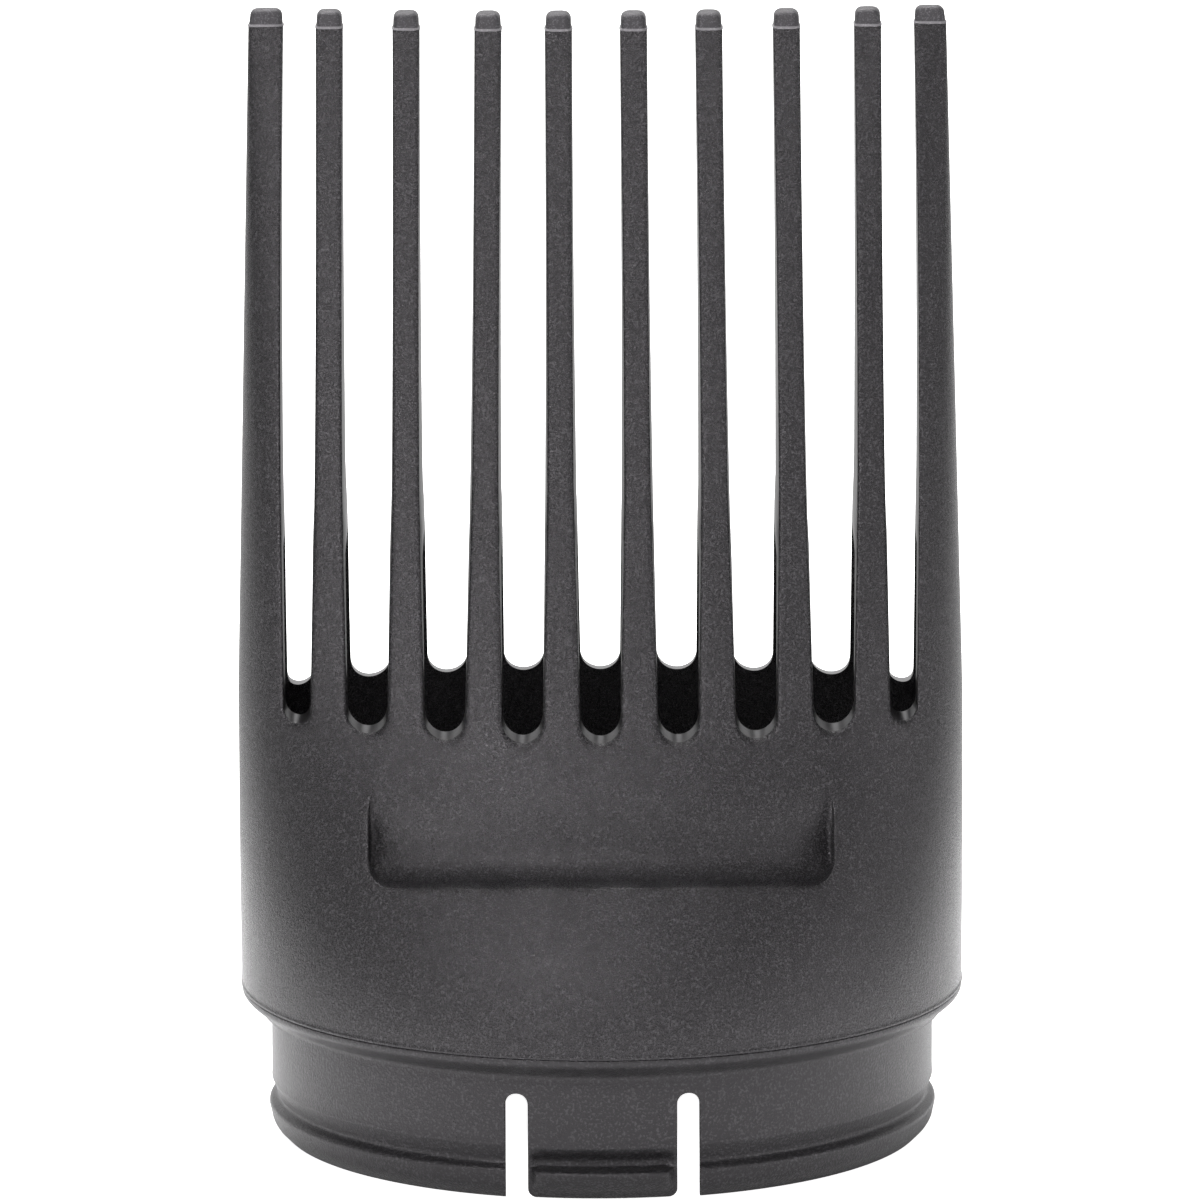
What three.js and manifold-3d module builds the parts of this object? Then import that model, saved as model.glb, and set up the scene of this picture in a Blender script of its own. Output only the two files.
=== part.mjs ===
// Comb ("pik") attachment for a hand-held hair dryer: a hollow wedge-shaped body with a row of
// teeth, on a round spigot that snaps into the dryer's nozzle.
// Millimetres. +Z runs from the spigot to the tooth tips, and the origin is the centre of the
// spigot's bottom rim. The front, with the grip recess, faces -Y. Each mesh is one closed solid.

import * as THREE from 'three';
import { mergeVertices } from 'three/addons/utils/BufferGeometryUtils.js';
import Module from 'manifold-3d';

const wasm = await Module();
wasm.setup();

// General
const GAP = 0.3; // clearance between neighbouring solids
const AROUND = 72; // facets round the oval body
const COLLAR_AROUND = 64; // facets round the spigot
const TIP_AROUND = 16; // facets round a tooth's end
const CUT_AROUND = 6; // facets on each curve of a cut's outline
const REACH = 100; // half-length of a cutting block, larger than the object

// Body: round at the seam, pinched front to back by an S-shaped shoulder, then a straight taper
const BODY_R = 31.5;
const SEAM_Z = 13.1;
const HEIGHT = 98.95;
const WALL = 2.4;
const ROOF_Z = 52.25; // the hollow ends here and the solid teeth begin
const SHOULDER_START_PULL_Z = 24.25; // handles of the shoulder's S-curve
const SHOULDER_END_PULL_Z = 31.55;
const SHOULDER_TOP_Z = 42.25;
const SHOULDER_TOP_HALF_DEPTH = 14.85;
const TIP_HALF_DEPTH = 1.1;
const TIP_HALF_WIDTH = 30.05;
const SIDE_TAPER_Z = 39.25; // the sides are upright below this height
const OVAL_Z = 25.25; // the plan is an ellipse below this height
const TIP_OVAL_POWER = 4.5; // and a fuller superellipse of this power at the tips
const FORM_LEVELS = [16, 20, 23, 26, 29, 32, 35, 38, SHOULDER_TOP_Z, 60, 80]; // where its facets meet

// Teeth and the slots between them
const TEETH = 10;
const PITCH = 6.71;
const SLOT_BOTTOM_Z = 37.7;
const TOOTH_HALF_WIDTH_ROOT = 1.65;
const TOOTH_HALF_WIDTH_TIP = 1.19;
const TOOTH_FLARE_POWER = 2.5; // how late the tooth widens towards its root
const END_TOOTH_INNER_X = 27.3;
const END_TOOTH_BOW = 0.22; // the end teeth's inner sides are hollow by this much halfway up
const TOOTH_LEAN = [0.28, 0.4, 0.3, 0.66, 0, -0.25, -0.48, -0.5, -0.2, -0.05]; // towards +X, at the tip
const SLOT_LEVELS = [SLOT_BOTTOM_Z, 44, 52, 62, 74, HEIGHT]; // where a slot's side facets meet
const ARCH_RISE = 0.45; // slot bottoms and tips rise by this much ...
const ARCH_HALF_SPAN = 28.8; // ... at this distance from the middle
const TIP_LENGTH = 1.5;
const TIP_ROUND = 0.65;
const TIP_ROUND_LEVELS = [1, 0.6, 0.25]; // facet heights on the rounding, as shares of it below the top
const TIP_INSET = 0.05; // the tip is this much slimmer than its tooth
const TIP_POWER = 4;

// Grip recess in the front of the body
const RECESS_HALF_WIDTH = 20;
const RECESS_LEDGE_Z = 26.75; // in the middle
const RECESS_LEDGE_DROP = 0.85; // the ledge is lower by this much at its ends
const RECESS_TOP_Z = 36.25;
const RECESS_HALF_DEPTH = 20.2; // the floor's distance from the middle plane
const RECESS_CORNER = 1.85;

// Base ring: stop flange, spigot wall, groove and retaining bead
const BORE_R = 26.85;
const SPIGOT_R = 28.85;
const SPIGOT_FOOT_R = 27.8;
const BEAD_R = 29.1;
const BEAD_Z = 2.7;
const GROOVE_R = 28.3;
const GROOVE_Z = 3.45;
const GROOVE_TOP_Z = 4.7;
const LEAD_IN_HEIGHT = 0.9; // the sloping foot that guides the spigot in
const LEAD_IN_CROWN = 0.15; // and how far it bulges
const BEAD_LOW = { dr: -0.12, dz: -0.7 }; // the bead's section, from its widest point
const BEAD_CREST = { dr: 0, dz: -0.2 };
const BEAD_TOP = { dr: -0.1, dz: 0.05 };
const GROOVE_END = { dr: 0.1, dz: 0.35 }; // where the groove starts to rise, from its deepest point
const SEAT_Z = 11; // underside of the stop flange
const SEAT_OUTER_R = 29.8;
const SEAT_FILLET = 0.3;
const LIP_HEIGHT = 1.6; // locating lip inside the body
const LIP_R = BODY_R - WALL - 2 * GAP;

// Snap tabs: tongues of the spigot wall between two slots
const TAB_HALF_WIDTH = 6.4;
const TAB_SLOT_WIDTH = 1.9;
const TAB_ROOT_Z = 9.1; // bending line
const TAB_FOOT_Z = 0.1;
const CATCH_R = 29.45;
const CATCH_TOP_Z = 2.75;
const CATCH_GROOVE_R = 27.95;
const CATCH_GROOVE_Z = 3.3;

const material = (color, roughness) => new THREE.MeshStandardMaterial({ color, roughness, metalness: 0 });
const bodyPlastic = material(0x454346, 0.5);
const tipPlastic = material(0x4c4a4d, 0.6);
const collarPlastic = material(0x434144, 0.48);

// ---- solids -------------------------------------------------------------------------------

// A manifold solid from a closed three.js geometry
function solid(geometry) {
  geometry.deleteAttribute('normal');
  geometry.deleteAttribute('uv');
  const merged = mergeVertices(geometry, 1e-4);
  return new wasm.Manifold(new wasm.Mesh({
    numProp: 3,
    vertProperties: new Float32Array(merged.attributes.position.array),
    triVerts: new Uint32Array(merged.index.array),
  }));
}

// A named mesh from a manifold solid
function meshOf(name, body, finish) {
  const data = body.getMesh();
  const geometry = new THREE.BufferGeometry();
  geometry.setAttribute('position', new THREE.BufferAttribute(data.vertProperties, 3));
  geometry.setIndex(new THREE.BufferAttribute(data.triVerts, 1));
  geometry.computeVertexNormals();
  const mesh = new THREE.Mesh(geometry, finish);
  mesh.name = name;
  return mesh;
}

// An axis-aligned block from its low and high corners
function block(low, high) {
  const size = high.map((v, i) => v - low[i]);
  const middle = high.map((v, i) => (v + low[i]) / 2);
  return solid(new THREE.BoxGeometry(...size).translate(...middle));
}

// A closed (radius, height) outline turned about Z
function turned(outline, segments) {
  const points = outline.map(([r, z]) => new THREE.Vector2(r, z));
  return solid(new THREE.LatheGeometry(points, segments).rotateX(Math.PI / 2));
}

// An outline in the X-Z plane, made into a solid that spans y0 to y1
function upright(shape, y0, y1) {
  const settings = { depth: y1 - y0, bevelEnabled: false, curveSegments: CUT_AROUND };
  const geometry = new THREE.ExtrudeGeometry(shape, settings);
  return solid(geometry.rotateX(Math.PI / 2).translate(0, y1, 0));
}

// Points on a circular arc in the (radius, height) plane, with angles in degrees
function arc(r, z, radius, from, to, steps) {
  return Array.from({ length: steps + 1 }, (_, i) => {
    const angle = THREE.MathUtils.degToRad(from + ((to - from) * i) / steps);
    return [r + radius * Math.cos(angle), z + radius * Math.sin(angle)];
  });
}

// ---- outer form of the body and teeth -----------------------------------------------------

const taperSlope = (SHOULDER_TOP_HALF_DEPTH - TIP_HALF_DEPTH) / (HEIGHT - SHOULDER_TOP_Z);
const taperDepth = (z) => TIP_HALF_DEPTH + taperSlope * (HEIGHT - z);
const shoulder = new THREE.CubicBezierCurve(
  new THREE.Vector2(SEAM_Z, BODY_R),
  new THREE.Vector2(SHOULDER_START_PULL_Z, BODY_R),
  new THREE.Vector2(SHOULDER_END_PULL_Z, taperDepth(SHOULDER_END_PULL_Z)),
  new THREE.Vector2(SHOULDER_TOP_Z, SHOULDER_TOP_HALF_DEPTH),
);

// Half-depth of the outer form at a height, found on the shoulder curve by bisection
function halfDepth(z) {
  if (z >= SHOULDER_TOP_Z) return taperDepth(z);
  let low = 0;
  let high = 1;
  for (let i = 0; i < 40; i += 1) {
    const middle = (low + high) / 2;
    if (shoulder.getPoint(middle).x < z) low = middle;
    else high = middle;
  }
  return shoulder.getPoint(low).y;
}

function halfWidth(z) {
  const up = Math.max(0, (z - SIDE_TAPER_Z) / (HEIGHT - SIDE_TAPER_Z));
  return BODY_R - (BODY_R - TIP_HALF_WIDTH) * up;
}

function ovalPower(z) {
  const up = Math.max(0, (z - OVAL_Z) / (HEIGHT - OVAL_Z));
  return 2 + (TIP_OVAL_POWER - 2) * up * up;
}

// Half-depth of the outer form at a place along its width
function depthAt(x, z) {
  const power = ovalPower(z);
  return halfDepth(z) * (1 - Math.abs(x / halfWidth(z)) ** power) ** (1 / power);
}

// Half-depth at a height of a surface that lies `inset` inside the outer form
function insetDepth(z, inset) {
  const step = 0.1;
  const slope = (halfDepth(z + step) - halfDepth(z)) / step;
  return halfDepth(z) - inset * Math.hypot(1, slope);
}

// A unit rod turned about Z whose every level is then squashed to the superellipse
// |x / a|^power + |y / b|^power = 1 that `plan` gives for its height
function ovalSolid(levels, segments, plan) {
  const outline = [[0, levels[0]], ...levels.map((z) => [1, z]), [0, levels.at(-1)]];
  const points = outline.map(([r, z]) => new THREE.Vector2(r, z));
  const geometry = new THREE.LatheGeometry(points, segments).rotateX(Math.PI / 2);
  const position = geometry.attributes.position;
  for (let i = 0; i < position.count; i += 1) {
    const { a, b, power } = plan(position.getZ(i));
    const bend = (v) => Math.sign(v) * Math.abs(v) ** (2 / power);
    position.setX(i, a * bend(position.getX(i)));
    position.setY(i, b * bend(position.getY(i)));
  }
  return solid(geometry);
}

function formLevels(from, to) {
  return [from, ...FORM_LEVELS.filter((z) => z > from && z < to), to];
}

function formSolid(from, to, inset) {
  return ovalSolid(formLevels(from, to), AROUND, (z) => ({
    a: halfWidth(z) - inset,
    b: insetDepth(z, inset),
    power: ovalPower(z),
  }));
}

// ---- slots between the teeth --------------------------------------------------------------

const arch = (x) => ARCH_RISE * (x / ARCH_HALF_SPAN) ** 2;

// How far a height is up a tooth: 0 at the slot bottoms, 1 at the tips
const upTooth = (z) => (z - SLOT_BOTTOM_Z) / (HEIGHT - SLOT_BOTTOM_Z);

// An end tooth's inner side before any lean
const endToothInner = (z) => END_TOOTH_INNER_X + 4 * END_TOOTH_BOW * upTooth(z) * (1 - upTooth(z));

// A tooth's side at a height, for side -1 (left) or 1 (right); teeth are numbered from -X
function toothSide(index, side, z) {
  const lean = TOOTH_LEAN[index] * upTooth(z);
  if (index === 0 && side > 0) return lean - endToothInner(z);
  if (index === TEETH - 1 && side < 0) return lean + endToothInner(z);
  if (index === 0 || index === TEETH - 1) return side * halfWidth(z);
  const flare = (TOOTH_HALF_WIDTH_ROOT - TOOTH_HALF_WIDTH_TIP) * (1 - upTooth(z)) ** TOOTH_FLARE_POWER;
  return (index - (TEETH - 1) / 2) * PITCH + lean + side * (TOOTH_HALF_WIDTH_TIP + flare);
}

// The slot to the right of a tooth: open at the top, round at the bottom
function slotCutter(index) {
  const left = (z) => toothSide(index, 1, z);
  const right = (z) => toothSide(index + 1, -1, z);
  const centre = (left(SLOT_BOTTOM_Z) + right(SLOT_BOTTOM_Z)) / 2;
  const radius = (right(SLOT_BOTTOM_Z) - left(SLOT_BOTTOM_Z)) / 2;
  const root = SLOT_BOTTOM_Z + arch(centre) + radius;
  const levels = SLOT_LEVELS.map((z) => Math.max(z, root));
  const shape = new THREE.Shape();
  shape.moveTo(left(HEIGHT), HEIGHT + 1);
  [...levels].reverse().forEach((z) => shape.lineTo(left(z), z));
  shape.absarc(centre, root, radius, Math.PI, 2 * Math.PI, false);
  levels.forEach((z) => shape.lineTo(right(z), z));
  shape.lineTo(right(HEIGHT), HEIGHT + 1);
  shape.closePath();
  return upright(shape, -BODY_R - 1, BODY_R + 1);
}

const slotCutters = Array.from({ length: TEETH - 1 }, (_, i) => slotCutter(i));
const cutSlots = (body) => slotCutters.reduce((left, cutter) => left.subtract(cutter), body);

// ---- body ---------------------------------------------------------------------------------

// The space in front of the recess floor; `grow` widens it for the wall behind the recess
function recessPocket(grow) {
  const half = RECESS_HALF_WIDTH + grow;
  const low = RECESS_LEDGE_Z - RECESS_LEDGE_DROP - grow;
  const corner = RECESS_CORNER + grow;
  const shape = new THREE.Shape();
  shape.moveTo(-half, RECESS_TOP_Z);
  shape.lineTo(-half, low + corner);
  shape.absarc(-half + corner, low + corner, corner, Math.PI, 1.5 * Math.PI, false);
  shape.quadraticCurveTo(0, low + 2 * RECESS_LEDGE_DROP, half - corner, low);
  shape.absarc(half - corner, low + corner, corner, 1.5 * Math.PI, 2 * Math.PI, false);
  shape.lineTo(half, RECESS_TOP_Z);
  shape.closePath();
  const floor = ovalSolid([low - 1, RECESS_TOP_Z + 1], AROUND, () => ({
    a: BODY_R - grow,
    b: RECESS_HALF_DEPTH - grow,
    power: 2,
  }));
  return upright(shape, -BODY_R - 1, 0).subtract(floor);
}

function makeShell() {
  const hollow = formSolid(SEAM_Z - 1, ROOF_Z + 1, WALL).subtract(recessPocket(WALL));
  const outside = cutSlots(formSolid(SEAM_Z, ROOF_Z, 0));
  return outside.subtract(hollow).subtract(recessPocket(0));
}

// ---- teeth and tips -----------------------------------------------------------------------

const TOOTH_MARGIN = 1; // half of a slot is wider than this, so a block this much wider holds one tooth
const toothCentre = (index, z) => (toothSide(index, -1, z) + toothSide(index, 1, z)) / 2;
const toothTopZ = (index) => HEIGHT - ARCH_RISE + arch(toothCentre(index, HEIGHT)) - TIP_LENGTH;

function makeTooth(index, allTeeth) {
  const left = toothSide(index, -1, ROOF_Z) - TOOTH_MARGIN;
  const right = toothSide(index, 1, ROOF_Z) + TOOTH_MARGIN;
  return allTeeth.intersect(block([left, -REACH, ROOF_Z + GAP], [right, REACH, toothTopZ(index)]));
}

// A tooth's end: the tooth's own plan with a rounded top
function makeTip(index) {
  const base = toothTopZ(index) + GAP;
  const top = toothTopZ(index) + TIP_LENGTH;
  const centre = toothCentre(index, base);
  const half = toothSide(index, 1, base) - centre - TIP_INSET;
  const depth = depthAt(centre, base);
  const levels = [base, ...TIP_ROUND_LEVELS.map((down) => top - down * TIP_ROUND), top];
  const shrink = (z) => {
    const up = THREE.MathUtils.clamp((z - top + TIP_ROUND) / TIP_ROUND, 0, 1);
    return TIP_ROUND * (1 - Math.sqrt(1 - up * up));
  };
  const cap = ovalSolid(levels, TIP_AROUND, (z) => ({
    a: half - shrink(z),
    b: depth - shrink(z),
    power: TIP_POWER,
  }));
  return cap.translate([centre, 0, 0]);
}

// ---- base ring and snap tabs --------------------------------------------------------------

// The spigot wall's outer side from the foot up, with its bead or catch
function spigotSide({ foot, bead, beadZ, groove, grooveZ }) {
  const leadIn = (SPIGOT_FOOT_R + bead) / 2 + LEAD_IN_CROWN;
  return [
    [SPIGOT_FOOT_R, foot],
    [leadIn, foot + LEAD_IN_HEIGHT],
    ...[BEAD_LOW, BEAD_CREST, BEAD_TOP].map(({ dr, dz }) => [bead + dr, beadZ + dz]),
    [groove, grooveZ],
    [groove + GROOVE_END.dr, grooveZ + GROOVE_END.dz],
    [SPIGOT_R, GROOVE_TOP_Z],
  ];
}

function makeRing() {
  const flangeRound = SEAM_Z - GAP - SEAT_Z;
  const outline = [
    [BORE_R, 0],
    ...spigotSide({ foot: 0, bead: BEAD_R, beadZ: BEAD_Z, groove: GROOVE_R, grooveZ: GROOVE_Z }),
    [SPIGOT_R, SEAT_Z - SEAT_FILLET],
    [SPIGOT_R + SEAT_FILLET, SEAT_Z],
    [SEAT_OUTER_R, SEAT_Z],
    ...flangeEdge(flangeRound),
    [LIP_R, SEAM_Z - GAP],
    [LIP_R, SEAM_Z + LIP_HEIGHT],
    [BORE_R, SEAM_Z + LIP_HEIGHT],
    [BORE_R, 0],
  ];
  return turned(outline, COLLAR_AROUND);
}

// The flange's rounded outer edge, from its seat up to the seam
function flangeEdge(rise) {
  const run = BODY_R - SEAT_OUTER_R;
  const quarter = arc(0, 0, 1, -90, 0, 6).slice(1);
  return quarter.map(([r, z]) => [SEAT_OUTER_R + run * r, SEAT_Z + rise * (z + 1)]);
}

function tabBlank() {
  const outline = [
    [BORE_R, TAB_FOOT_Z],
    ...spigotSide({
      foot: TAB_FOOT_Z,
      bead: CATCH_R,
      beadZ: CATCH_TOP_Z,
      groove: CATCH_GROOVE_R,
      grooveZ: CATCH_GROOVE_Z,
    }),
    [SPIGOT_R, TAB_ROOT_Z],
    [BORE_R, TAB_ROOT_Z],
    [BORE_R, TAB_FOOT_Z],
  ];
  return turned(outline, 2 * COLLAR_AROUND);
}

const tabSpace = block([-TAB_HALF_WIDTH, -REACH, -1], [TAB_HALF_WIDTH, 0, TAB_ROOT_Z]);

// The window in the ring for one tab and the round-topped slots beside it
function tabWindow() {
  const radius = TAB_SLOT_WIDTH / 2;
  const slotX = TAB_HALF_WIDTH + radius;
  const slotTop = TAB_ROOT_Z + GAP - radius;
  const shape = new THREE.Shape();
  shape.moveTo(-slotX - radius, -1);
  shape.lineTo(slotX + radius, -1);
  shape.lineTo(slotX + radius, slotTop);
  shape.absarc(slotX, slotTop, radius, 0, Math.PI / 2, false);
  shape.absarc(-slotX, slotTop, radius, Math.PI / 2, Math.PI, false);
  shape.closePath();
  return upright(shape, -BODY_R, 0);
}

const halfTurn = (body) => body.rotate([0, 0, 180]);

// ---- the assembly -------------------------------------------------------------------------

const attachment = new THREE.Group();
const numbered = (stem, index) => `${stem}_${String(index + 1).padStart(2, '0')}`;

attachment.add(meshOf('comb_shell', makeShell(), bodyPlastic));

const allTeeth = cutSlots(formSolid(ROOF_Z + GAP, HEIGHT, 0));
for (let i = 0; i < TEETH; i += 1) {
  attachment.add(meshOf(numbered('tooth', i), makeTooth(i, allTeeth), bodyPlastic));
  attachment.add(meshOf(numbered('tip', i), makeTip(i), tipPlastic));
}

const ring = makeRing().subtract(tabWindow()).subtract(halfTurn(tabWindow()));
attachment.add(meshOf('collar_ring', ring, collarPlastic));

const tab = tabBlank().intersect(tabSpace);
attachment.add(meshOf('tab_front', tab, collarPlastic));
attachment.add(meshOf('tab_back', halfTurn(tab), collarPlastic));

export default attachment;
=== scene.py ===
"""Looks of the comb ("pik") attachment for a hair dryer, built round its CAD frame.

Metres in Blender. The form is worked out in millimetres, as in the CAD, and scaled by MM.
"""

import math

import bmesh
import bpy
import numpy as np
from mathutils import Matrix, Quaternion, Vector
from mathutils.geometry import delaunay_2d_cdt


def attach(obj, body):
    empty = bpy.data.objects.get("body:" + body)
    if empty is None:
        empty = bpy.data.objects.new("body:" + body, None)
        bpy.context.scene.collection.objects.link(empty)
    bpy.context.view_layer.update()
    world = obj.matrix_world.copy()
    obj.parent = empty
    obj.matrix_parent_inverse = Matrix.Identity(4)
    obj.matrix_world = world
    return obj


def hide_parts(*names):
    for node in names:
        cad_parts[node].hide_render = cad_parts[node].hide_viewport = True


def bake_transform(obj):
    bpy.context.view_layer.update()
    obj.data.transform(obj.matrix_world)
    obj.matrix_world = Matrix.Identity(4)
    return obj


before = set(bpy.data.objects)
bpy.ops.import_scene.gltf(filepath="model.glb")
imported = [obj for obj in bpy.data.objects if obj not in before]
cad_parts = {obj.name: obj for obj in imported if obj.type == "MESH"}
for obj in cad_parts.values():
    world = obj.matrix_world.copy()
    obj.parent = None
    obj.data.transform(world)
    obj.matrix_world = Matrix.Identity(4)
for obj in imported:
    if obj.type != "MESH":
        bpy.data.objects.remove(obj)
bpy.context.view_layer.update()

MM = 0.001

# ---- dimensions, as in the CAD -------------------------------------------------------------

BODY_R = 31.5
SEAM_Z = 13.1
HEIGHT = 98.95
WALL = 2.4
ROOF_Z = 52.4  # underside of the solid teeth, seen from inside the hollow
SHOULDER_START_PULL_Z = 24.25
SHOULDER_END_PULL_Z = 31.55
SHOULDER_TOP_Z = 42.25
SHOULDER_TOP_HALF_DEPTH = 14.85
TIP_HALF_DEPTH = 1.1
TIP_HALF_WIDTH = 30.05
SIDE_TAPER_Z = 39.25
OVAL_Z = 25.25
TIP_OVAL_POWER = 4.5

TEETH = 10
PITCH = 6.71
SLOT_BOTTOM_Z = 37.7
TOOTH_HALF_WIDTH_ROOT = 1.65
TOOTH_HALF_WIDTH_TIP = 1.19
TOOTH_FLARE_POWER = 2.5
END_TOOTH_INNER_X = 27.3
END_TOOTH_BOW = 0.22  # the end teeth's inner sides are hollow by this much halfway up
TOOTH_LEAN = [0.28, 0.4, 0.3, 0.66, 0, -0.25, -0.48, -0.5, -0.2, -0.05]
ARCH_RISE = 0.45
ARCH_HALF_SPAN = 28.8
TIP_LENGTH = 1.5

RECESS_HALF_WIDTH = 20
RECESS_LOW_Z = 25.9  # at its ends
RECESS_ARCH = 0.85  # the ledge is higher by this much in the middle
RECESS_TOP_Z = 36.2
RECESS_HALF_DEPTH = 20.2  # the floor's distance from the middle plane
RECESS_CORNER = 1.85

BORE_R = 26.85
SPIGOT_R = 28.85
SPIGOT_FOOT_R = 27.8
BEAD_R = 29.1
GROOVE_R = 28.3
SEAT_Z = 11
SEAT_OUTER_R = 29.8
LIP_HEIGHT = 1.6
LIP_R = 28.5
TAB_HALF_WIDTH = 6.4
TAB_SLOT_WIDTH = 1.9
TAB_TOP_Z = 9.4
TAB_FOOT_Z = 0.1

# ---- edge treatment and mesh density -------------------------------------------------------

MERGE = 0.0002  # points nearer than this are one
ROUND = 1e-6  # allowance for rounding errors when heights are compared

ROOT_ROUND = 0.42  # rounding of a tooth's front and back edges at its root
TIP_EDGE_ROUND = 0.26  # and at its tip
LIP_ROUND = 0.55  # softer rounding under each slot
DRAFT = 0.02  # slope of a tooth's sides, which makes it slimmer in front and behind than in between
DRAFT_START_Z, DRAFT_FULL_Z = 44, 60
DRAFT_TURN = 6  # height over which the sides' section changes above the roof
FOOT_FLARE = 0.16  # a slot's round foot is this much wider on the outside than inside
JOIN_Z = 36.6  # the lower body's mesh meets the slots' mesh here
CORNER_STEPS = 6  # mesh steps down each side of a slot's foot
FOOT_STEPS = 12  # and along its bottom
SIDE_STEPS = 16  # and round each end of the oval body
EDGE_ANGLES = [0, 18, 36, 54, 72, 90]  # mesh rows over a slot's rounded edge, in degrees
FACE_SHARES = [0.3, 0.65, 1.0]  # and across the skin from there to the middle of the tooth
INNER_SHARES = [0.0, 0.35, 0.7, 1.0]  # and likewise on the hollow's wall
SLOT_FINISH = 1  # the body's second material, on the slots' smoother walls
JOINT_HIGHLIGHT_FINISH = 1  # a tip's second material, on its raised line, made paler as a painted highlight
FRONT = -1
BACK = 1

RIDGE_HEIGHT = 0.34  # of the fine raised line round the seam
RIDGE_CREST = 0.45  # its crest, as a share of its height
RIDGE_DEPTH = 0.07  # how far it stands out from the body above it
RIDGE_FOOT = 0.05  # how far its foot tucks in
RIDGE_FADE_Z, RIDGE_FADE_HEIGHT = 15.0, 7.0  # over which the body comes back out to the CAD's form
RIDGE_ROWS = [0, 0.04, 0.09, 0.15, 0.2, 0.25, 0.3, RIDGE_HEIGHT, 0.5]  # mesh rows above the seam

RECESS_TURN_Z, RECESS_TURN_HEIGHT, RECESS_TURN = 31.2, 3.8, 1.3  # its sides turn in towards the top
RECESS_BLEND = 0.9  # softness of the line where the floor meets the outer form
RECESS_FADE_Z = 33.6  # it fades out from here to its top
RECESS_EDGE = 0.28  # rounding of its outer edge
RECESS_EDGE_SHARE = 0.35  # which takes no more than this share of the depth
LEDGE_COVE, LEDGE_COVE_SHARE = 4.0, 0.62  # hollow corner above the ledge: reach, share of the depth
SIDE_COVE, SIDE_COVE_SHARE = 0.6, 0.5  # and beside the recess's ends
COVE_LIMIT = 0.8  # both together fill no more than this share
COVE_BLEND = 3  # and meet with this power
OUTLINE_SIDE, OUTLINE_CORNER, OUTLINE_LEDGE = 21, 13, 74  # mesh points on the recess's outline
RECESS_APRON = 0.25  # width of the mesh ring just outside the rounded edge
RECESS_WALL_OFFSETS = [0.02, 0.06, 0.13, 0.24, 0.4, 0.6, 0.85]  # mesh rings inside it
GRID_MARGIN = 0.2  # the body's grid keeps this far from the rings
HOLLOW_FADE = 1.5  # over which the hollow's wall moves in behind the recess
HOLLOW_ROWS = 20

TIP_COLUMNS = 40
TIP_ROUND = 0.6
TIP_POWER = 4.6
TIP_SEAT = 0.02  # a tip starts this far above its tooth's joint line
TIP_INSET, TIP_DRAFT = 0.065, 0.03  # how much slimmer it is above the raised line, and further up
TIP_LINE = [(0, 0.06), (0.004, -0.01), (0.03, -0.04), (0.07, -0.045), (0.11, -0.02), (0.19, 0.05),
            (0.22, TIP_INSET)]  # (height, how much slimmer than the tooth) up the raised line
END_TIP_SLOPE = 0.12  # the end tips' outer sides lean in by this much


# ---- mesh helpers --------------------------------------------------------------------------

class Surface:
    """Vertices and faces of one mesh, in millimetres, with shared corners found by position."""

    def __init__(self):
        self.points = []
        self.faces = []
        self.finishes = []
        self.finish = 0  # index of the material for the faces added next
        self.known = {}

    def add(self, x, y, z):
        key = (round(x, 5), round(y, 5), round(z, 5))
        if key not in self.known:
            self.known[key] = len(self.points)
            self.points.append((x, y, z))
        return self.known[key]

    def face(self, *corners):
        distinct = list(dict.fromkeys(corners))
        if len(distinct) > 2:
            self.faces.append(distinct)
            self.finishes.append(self.finish)

    def grid(self, rows, closed=False):
        """Faces between rows of points; each row is a list of (x, y, z)."""
        index = [[self.add(*p) for p in row] for row in rows]
        for lower, upper in zip(index, index[1:]):
            count = len(lower)
            for i in range(count if closed else count - 1):
                j = (i + 1) % count
                self.face(lower[i], lower[j], upper[j], upper[i])

    def build(self, name, materials, split):
        """The finished object, smooth but for edges sharper than `split` degrees."""
        mesh = bpy.data.meshes.new(name)
        mesh.from_pydata([(x * MM, y * MM, z * MM) for x, y, z in self.points], [], self.faces)
        for material in materials:
            mesh.materials.append(material)
        mesh.polygons.foreach_set("material_index", self.finishes)
        mesh.validate()
        shaped = bmesh.new()
        shaped.from_mesh(mesh)
        bmesh.ops.remove_doubles(shaped, verts=shaped.verts, dist=MERGE * MM)
        bmesh.ops.recalc_face_normals(shaped, faces=shaped.faces)
        shaped.to_mesh(mesh)
        shaped.free()
        obj = bpy.data.objects.new(name, mesh)
        bpy.context.scene.collection.objects.link(obj)
        mesh.polygons.foreach_set("use_smooth", [True] * len(mesh.polygons))
        mesh.set_sharp_from_angle(angle=math.radians(split))
        mesh.update()
        return obj


def smoothstep(t):
    t = np.clip(t, 0.0, 1.0)
    return t * t * (3 - 2 * t)


# ---- outer and inner form of the body and teeth --------------------------------------------

TAPER_SLOPE = (SHOULDER_TOP_HALF_DEPTH - TIP_HALF_DEPTH) / (HEIGHT - SHOULDER_TOP_Z)


def taper_depth(z):
    return TIP_HALF_DEPTH + TAPER_SLOPE * (HEIGHT - z)


def shoulder_curve(steps=4000):
    """(heights, half-depths) along the S-shaped shoulder."""
    t = np.linspace(0, 1, steps + 1)
    weights = ((1 - t) ** 3, 3 * t * (1 - t) ** 2, 3 * t * t * (1 - t), t ** 3)
    heights = (SEAM_Z, SHOULDER_START_PULL_Z, SHOULDER_END_PULL_Z, SHOULDER_TOP_Z)
    depths = (BODY_R, BODY_R, taper_depth(SHOULDER_END_PULL_Z), SHOULDER_TOP_HALF_DEPTH)
    return sum(w * h for w, h in zip(weights, heights)), sum(w * d for w, d in zip(weights, depths))


SHOULDER_HEIGHTS, SHOULDER_DEPTHS = shoulder_curve()


def half_depth(z):
    if z >= SHOULDER_TOP_Z:
        return taper_depth(z)
    return float(np.interp(z, SHOULDER_HEIGHTS, SHOULDER_DEPTHS))


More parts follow.
